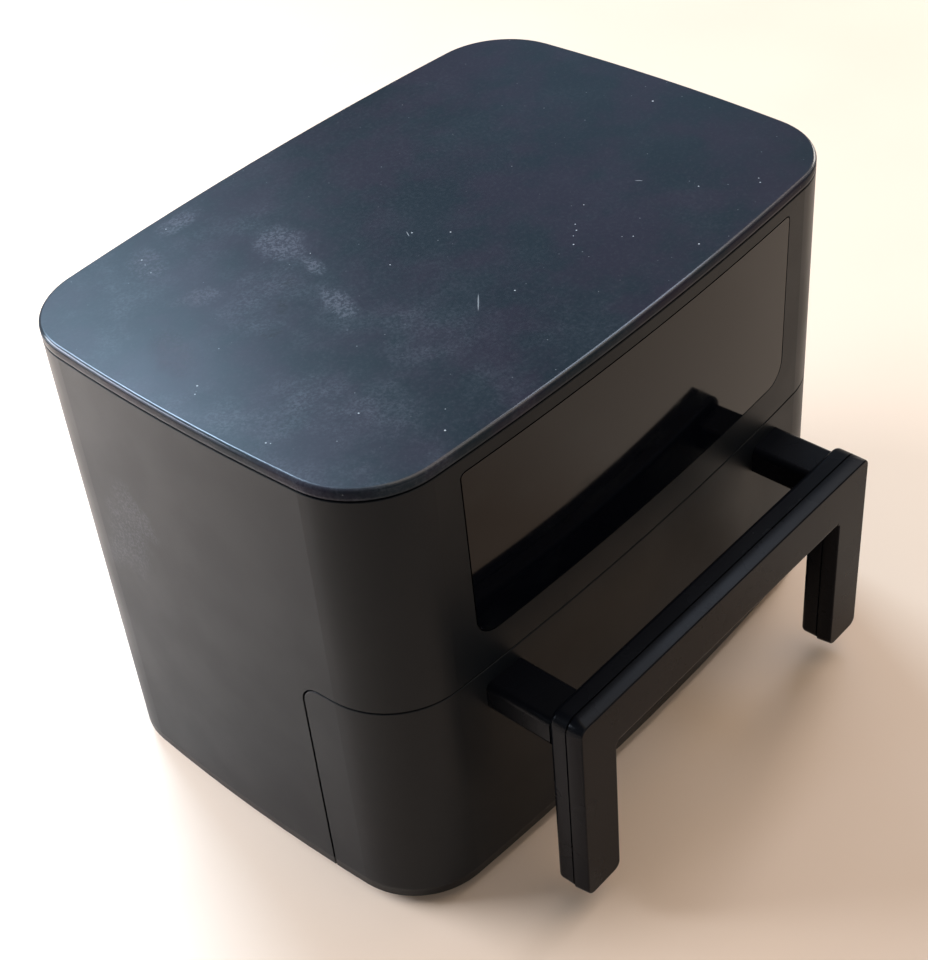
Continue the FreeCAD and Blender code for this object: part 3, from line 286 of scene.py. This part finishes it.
def scattered(recipe, scale, core, edge, shuffle, rare, sure, strength):
    """Round specks in some of the cells of a scatter, from core to edge as a share of a cell."""
    cells = recipe.cells(scale)
    near = recipe.range(cells.outputs["Distance"], core, edge, 1.0, 0.0)
    chance = recipe.math("FRACT", recipe.times(cells.outputs["Color"], shuffle))
    return recipe.times(near, recipe.range(chance, rare, sure, 0.0, strength))


def moulded_black(name, colours, rough, gloss, grain=0.04, edge=None, smudges=()):
    """Moulded plastic with a fine spark-eroded grain, a slow change of tone and gloss, and an eased edge."""
    recipe = Recipe(name)
    tone = recipe.mix(recipe.range(recipe.noise(9.0, 3.0), 0.35, NOISE_HIGH), *colours)
    if smudges:
        haze = grainy(recipe, side_marks(recipe, smudges), 75.0, 640.0)
        tone = recipe.mix(recipe.times(haze, SIDE_SMUDGE_SHARE), tone, SMUDGE_COLOUR)
    eased = recipe.eased(*edge) if edge else None
    recipe.set(Base_Color=tone, IOR=1.48, Specular_IOR_Level=gloss)
    recipe.set(Roughness=recipe.vary(recipe.noise(28.0, 4.0), rough - 0.02, rough + 0.03))
    recipe.set(Normal=recipe.bump(recipe.noise(1400.0, 2.0), grain, 0.0004, eased))
    return recipe.material


def side_marks(recipe, table):
    """The marks of a table that lie on a side."""
    marks = []
    for x, y, z, half_width, half_height, turn in table:
        marks.append(recipe.mark((x, y, z), (SIDE_MARK_DEPTH, half_width, half_height), (turn, 0, 0)))
    return recipe.most(marks)


def flat_marks(recipe, table):
    """The marks of a table that lie on the top."""
    marks = []
    for x, y, half_length, half_width, turn in table:
        marks.append(recipe.mark((x, y, TOP_Z), (half_length, half_width, 1.0), (0, 0, turn)))
    return recipe.most(marks)


def top_dust(recipe):
    """Specks and scratches at their places, and finer dust scattered between them."""
    specks = flat_marks(recipe, [(x, y, radius, radius, 0) for x, y, radius in TOP_SPECKS])
    return recipe.most([
        scattered(recipe, 95.0, core=0.02, edge=0.045, shuffle=7.0, rare=0.8, sure=1.0, strength=0.35),
        scattered(recipe, 240.0, core=0.05, edge=0.11, shuffle=7.0, rare=0.84, sure=1.0, strength=0.22),
        recipe.range(specks, 0.1, 0.6, 0.0, 0.8),
        recipe.range(flat_marks(recipe, TOP_SCRATCHES), 0.05, 0.5, 0.0, 0.35),
    ])


def top_film(recipe):
    """Thin clouds of pale film, lighter towards the left."""
    clouds = recipe.range(recipe.noise(21.0, 7.0, 0.68), 0.42, 0.72)
    grains = recipe.range(recipe.noise(620.0, 3.0, 0.7), 0.38, 0.66, 0.15, 1.0)
    strength = recipe.range(recipe.along("X"), *FILM_ACROSS, *FILM_STRENGTH)
    return recipe.times(recipe.times(clouds, grains), strength)


def rim_polish(recipe):
    """Polish on the rounded rim of the top, and none on its flat or its side."""
    height = recipe.along("Z")
    start = recipe.range(height, *(TOP_Z - depth for depth in RIM_START))
    end = recipe.range(height, *(TOP_Z - depth for depth in RIM_END), 0.0, RIM_POLISH)
    return recipe.times(start, end)


def top_black():
    """Satin top with grainy smudges, dust, fine scratches, darker spots and a film of uneven tone."""
    recipe = Recipe("top_black")
    haze = grainy(recipe, flat_marks(recipe, TOP_SMUDGES), 62.0, 640.0)
    spots = grainy(recipe, flat_marks(recipe, TOP_DARK_SPOTS), 110.0, 300.0)
    slow = recipe.noise(11.0, 5.0, 0.6)
    patches = recipe.noise(19.0, 5.0, 0.62, recipe.mapped(move=(3.1, 1.7, 0.0)))
    mottle = recipe.noise(420.0, 4.0, 0.75)
    tone = recipe.mix(recipe.range(patches, 0.38, 0.62), TOP_TEAL, TOP_VIOLET)
    tone = recipe.mix(recipe.range(mottle, 0.45, 0.8, 0.0, 0.4), tone, TOP_MOTTLE)
    tone = recipe.mix(recipe.most([top_film(recipe), recipe.times(haze, 0.45)]), tone, SMUDGE_COLOUR)
    tone = recipe.mix(top_dust(recipe), tone, DUST_COLOUR)
    tone = recipe.mix(recipe.times(spots, 0.7), tone, SPOT_COLOUR)
    rough = recipe.range(recipe.plus(slow, mottle), 0.6, 1.4, 0.29, 0.36)
    duller = recipe.most([haze, recipe.times(spots, 0.3)])
    recipe.set(Base_Color=tone, IOR=1.5, Specular_IOR_Level=0.14)
    recipe.set(Roughness=recipe.plus(rough, recipe.times(duller, 0.25)))
    recipe.set(Normal=recipe.bump(recipe.noise(1500.0, 2.0), 0.03, 0.0003, recipe.eased(*TOP_EDGE)))
    recipe.set(Coat_Weight=rim_polish(recipe), Coat_Roughness=0.12)
    return recipe.material


def panel_gloss():
    """Gloss black plastic with a faint moulding ripple, dust and wiped marks."""
    recipe = Recipe("panel_gloss")
    wiped = recipe.range(recipe.noise(24.0, 5.0, 0.6, recipe.mapped((1.0, 1.0, 2.2))), 0.5, 0.8)
    recipe.set(Base_Color=recipe.mix(wiped, *PANEL_BLACK), IOR=1.52, Specular_IOR_Level=0.22)
    recipe.set(Roughness=recipe.range(wiped, 0.0, 1.0, 0.05, 0.11))
    recipe.set(Normal=recipe.bump(recipe.noise(11.0, 1.0), 0.08, 0.002))
    return recipe.material


def soft_rubber(name, colour, rough):
    """Moulded rubber with a dull, slightly uneven skin."""
    recipe = Recipe(name)
    tone = recipe.mix(recipe.vary(recipe.noise(40.0, 3.0)), colour, shaded(colour, 1.5))
    recipe.set(Base_Color=tone, IOR=1.45)
    recipe.set(Roughness=recipe.vary(recipe.noise(220.0, 3.0), rough - 0.08, rough + 0.06))
    recipe.set(Normal=recipe.bump(recipe.noise(900.0, 2.0), 0.08, 0.0005))
    return recipe.material


def non_stick():
    """Sprayed coating: near black, with fine pale flakes and a slight orange peel."""
    recipe = Recipe("non_stick")
    flakes = scattered(recipe, 700.0, core=0.12, edge=0.3, shuffle=5.0, rare=0.86, sure=0.9, strength=1.0)
    recipe.set(Base_Color=recipe.mix(flakes, COATING_BLACK, COATING_FLAKE), IOR=1.5)
    recipe.set(Roughness=recipe.vary(recipe.noise(60.0, 4.0), 0.26, 0.38))
    recipe.set(Normal=recipe.bump(recipe.noise(420.0, 2.0), 0.12, 0.0006))
    return recipe.material


def sheet_metal(name, colours, rough, stretch):
    """Bare or plated metal with rolling streaks along one direction and darker stains."""
    recipe = Recipe(name)
    streaks = recipe.noise(1.0, 3.0, 0.6, recipe.mapped(stretch))
    stains = recipe.range(recipe.noise(14.0, 5.0, 0.6), 0.45, 0.75)
    tone = recipe.mix(recipe.vary(streaks), *colours)
    tone = recipe.mix(recipe.times(stains, 0.4), tone, shaded(colours[1], 0.6))
    recipe.set(Base_Color=tone, Metallic=1.0)
    recipe.set(Roughness=recipe.range(streaks, 0.25, 0.75, rough - 0.06, rough + 0.1))
    recipe.set(Normal=recipe.bump(streaks, 0.05, 0.0004))
    return recipe.material


def heated_tube():
    """Sheathed element: dark oxide with straw and blue heat colours."""
    recipe = Recipe("heated_tube")
    tone = recipe.mix(recipe.range(recipe.noise(22.0, 4.0), 0.35, 0.65), ELEMENT_OXIDE, ELEMENT_STRAW)
    tone = recipe.mix(recipe.range(recipe.noise(60.0, 3.0), 0.55, 0.8), tone, ELEMENT_BLUE)
    recipe.set(Base_Color=tone, Metallic=0.9)
    recipe.set(Roughness=recipe.vary(recipe.noise(300.0, 3.0), 0.42, 0.6))
    return recipe.material


def circuit_board():
    """Green solder mask with paler copper runs under it."""
    recipe = Recipe("circuit_board")
    cells = recipe.cells(110.0, "DISTANCE_TO_EDGE")
    runs = recipe.range(cells.outputs["Distance"], 0.04, 0.08, 1.0, 0.0)
    recipe.set(Base_Color=recipe.mix(runs, BOARD_MASK, BOARD_RUN), IOR=1.5)
    recipe.set(Roughness=recipe.vary(recipe.noise(90.0, 2.0), 0.28, 0.4))
    recipe.set(Normal=recipe.bump(runs, 0.2, 0.0002))
    return recipe.material


def pale_moulding(name, colours, rough):
    """Uncoloured plastic or fired ceramic for parts that stay inside."""
    recipe = Recipe(name)
    recipe.set(Base_Color=recipe.mix(recipe.vary(recipe.noise(30.0, 4.0)), *colours))
    recipe.set(Roughness=recipe.vary(recipe.noise(160.0, 3.0), rough - 0.06, rough + 0.08))
    recipe.set(Normal=recipe.bump(recipe.noise(700.0, 2.0), 0.06, 0.0004))
    return recipe.material


def floor_finish():
    """Plain pale floor with a slow change of tone."""
    recipe = Recipe("pale_floor")
    tone = recipe.mix(recipe.vary(recipe.noise(1.2, 3.0)), FLOOR_COLOUR, shaded(FLOOR_COLOUR, FLOOR_SHADE))
    recipe.set(Base_Color=tone)
    recipe.set(Roughness=recipe.vary(recipe.noise(6.0, 3.0), 0.42, 0.55))
    return recipe.material


def dress_nodes():
    """Every CAD node keeps its shape and gets its finish."""
    finishes = {
        top_black(): ["top_plate"],
        panel_gloss(): ["control_panel"],
        moulded_black("shell_black", SHELL_BLACK, 0.40, 0.16, edge=SHELL_FOOT, smudges=SIDE_SMUDGES):
            ["outer_shell", "drawer_front"],
        moulded_black("handle_black", HANDLE_BLACK, 0.26, 0.08):
            ["left_handle_arm", "right_handle_arm", "handle_back"],
        moulded_black("cover_black", HANDLE_BLACK, 0.26, 0.08, edge=COVER_BAND): ["handle_front"],
        moulded_black("base_black", BASE_BLACK, 0.5, 0.18, grain=0.08):
            ["base_plate", "panel_backing", "rear_cover", "cord_gland", "front_frame", "drawer_inner"],
        non_stick(): ["pan", "crisper_plate"],
        sheet_metal("chamber_steel", CHAMBER_STEEL, 0.34, CHAMBER_STREAKS):
            ["cavity_liner", "left_rail", "right_rail", "heater_guard", "heat_reflector", "motor_bracket",
             "exhaust_duct"],
        sheet_metal("screw_steel", SCREW_STEEL, 0.3, SCREW_STREAKS):
            ["foot_screws", "motor_screws", "handle_screws", "temperature_sensor", "drawer_magnet",
             "left_fan_shaft", "right_fan_shaft"],
        sheet_metal("fan_aluminium", FAN_ALUMINIUM, 0.32, FAN_STREAKS):
            ["left_hot_fan", "right_hot_fan", "left_cooling_fan", "right_cooling_fan"],
        sheet_metal("motor_steel", MOTOR_STEEL, 0.4, MOTOR_STREAKS): ["left_motor", "right_motor"],
        heated_tube(): ["left_heating_element", "right_heating_element"],
        circuit_board(): ["control_board", "power_board"],
        soft_rubber("seal_rubber", SEAL_RUBBER, 0.55): ["drawer_seal", "crisper_bumpers"],
        soft_rubber("foot_rubber", FOOT_RUBBER, 0.6): ["rubber_feet"],
        pale_moulding("grey_plastic", GREY_PLASTIC, 0.5): ["display_module", "drawer_sensor"],
        pale_moulding("white_ceramic", WHITE_CERAMIC, 0.55): ["heater_bushes"],
    }
    for material, names in finishes.items():
        for name in names:
            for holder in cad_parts[name].material_slots:
                holder.material = material


def lay_floor():
    """A plain floor under the feet, as stage."""
    floor = bmesh.new()
    bmesh.ops.create_grid(floor, x_segments=1, y_segments=1, size=FLOOR_HALF)
    mesh = bpy.data.meshes.new("floor")
    floor.to_mesh(mesh)
    floor.free()
    mesh.materials.append(floor_finish())
    piece = bpy.data.objects.new("floor", mesh)
    bpy.context.scene.collection.objects.link(piece)


def soft_lamp(name, place, aim, size, power, colour, spread=FULL_SPREAD):
    """A rectangular lamp that the camera doesn't see."""
    lamp = bpy.data.lights.new(name, "AREA")
    lamp.shape = "RECTANGLE"
    lamp.size, lamp.size_y = size
    lamp.energy = power
    lamp.color = colour
    lamp.spread = math.radians(spread)
    holder = bpy.data.objects.new(name, lamp)
    holder.location = place
    holder.rotation_euler = (Vector(aim) - Vector(place)).to_track_quat("-Z", "Y").to_euler()
    holder.visible_camera = False
    bpy.context.scene.collection.objects.link(holder)


def light_room():
    """Even light from the room, and the soft lamps."""
    world = bpy.data.worlds.new("room")
    world.use_nodes = True
    background = world.node_tree.nodes["Background"]
    background.inputs["Color"].default_value = (*ROOM_COLOUR, 1.0)
    background.inputs["Strength"].default_value = ROOM_STRENGTH
    bpy.context.scene.world = world
    for name, settings in LAMPS.items():
        soft_lamp(name, **settings)
    bpy.context.scene.view_settings.view_transform = "Standard"


def place_camera():
    """The photograph's view."""
    lens = bpy.data.cameras.new("camera")
    lens.lens = CAMERA_LENS
    lens.sensor_width = CAMERA_SENSOR
    holder = bpy.data.objects.new("camera", lens)
    holder.location = CAMERA_PLACE
    holder.rotation_euler = [math.radians(angle) for angle in CAMERA_TURN]
    bpy.context.scene.collection.objects.link(holder)
    bpy.context.scene.camera = holder


place_camera()
light_room()
lay_floor()
dress_nodes()
